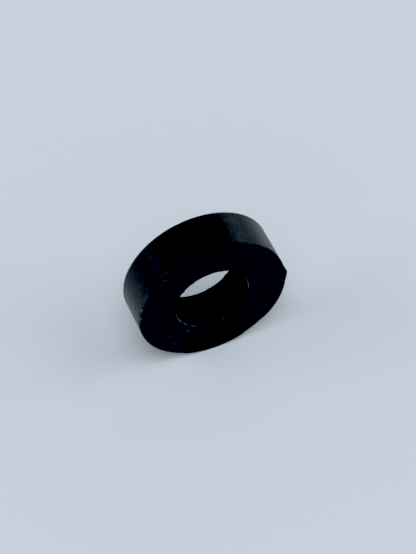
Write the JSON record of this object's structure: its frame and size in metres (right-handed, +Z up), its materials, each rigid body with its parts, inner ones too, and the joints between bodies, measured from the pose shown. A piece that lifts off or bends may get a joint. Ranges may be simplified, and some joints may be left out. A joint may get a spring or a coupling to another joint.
{
  "type": "fence insulator",
  "caption": "Plain black polymer ring with a chamfered through bore and a low moulding seam on its rim; it slips over a bolt or rod and insulates a fence fitting from it.",
  "frame": {"origin": "centre of the bore, at half the ring's thickness; the ring stands on its rim as in the picture", "axes": "+Z up; the bore runs along Y with the front face looking to -Y; +X is to the right of a viewer who faces the front face, and the moulding seam is on that side, 85 degrees from the top"},
  "size_m": [0.0284, 0.008, 0.028],
  "materials": {
    "black_polymer": "black moulded polymer: satin rim with fine rub marks, dull end faces and bore, edges lightly worn"
  },
  "bodies": {
    "root": {"insulator_ring": "black_polymer"}
  },
  "joints": []
}
